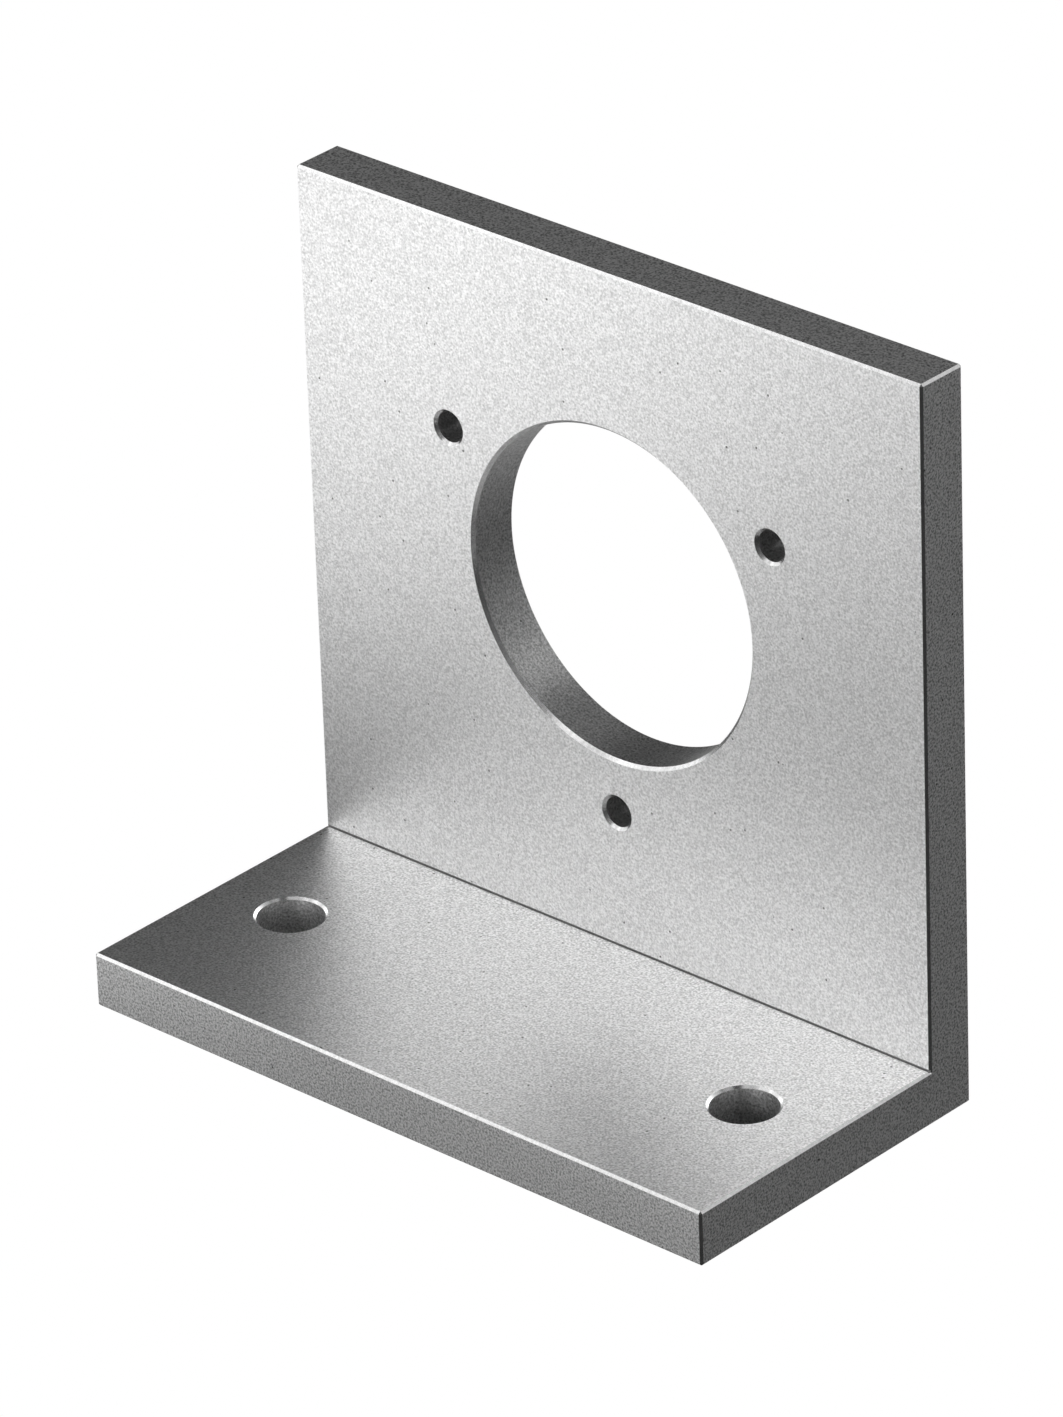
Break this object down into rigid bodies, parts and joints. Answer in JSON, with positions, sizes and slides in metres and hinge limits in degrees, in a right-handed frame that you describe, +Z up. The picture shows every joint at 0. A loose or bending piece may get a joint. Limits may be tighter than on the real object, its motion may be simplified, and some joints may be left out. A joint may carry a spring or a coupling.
{
  "type": "encoder angle flange",
  "caption": "One-piece aluminium angle bracket: an upright plate with a collar bore and a ring of screw holes for a rotary encoder, and a foot with bolt holes.",
  "frame": {"origin": "on the underside, midway across the width and midway between the foot's front edge and the plate's back face", "axes": "+X across the width, +Y from the foot's front edge to the plate's back face and along the bore, +Z up the plate"},
  "size_m": [0.08, 0.04, 0.08],
  "materials": {
    "satin_aluminium": "satin, very finely blasted, with bright broken edges"
  },
  "bodies": {
    "root": {"angle_flange": "satin_aluminium"}
  },
  "joints": []
}
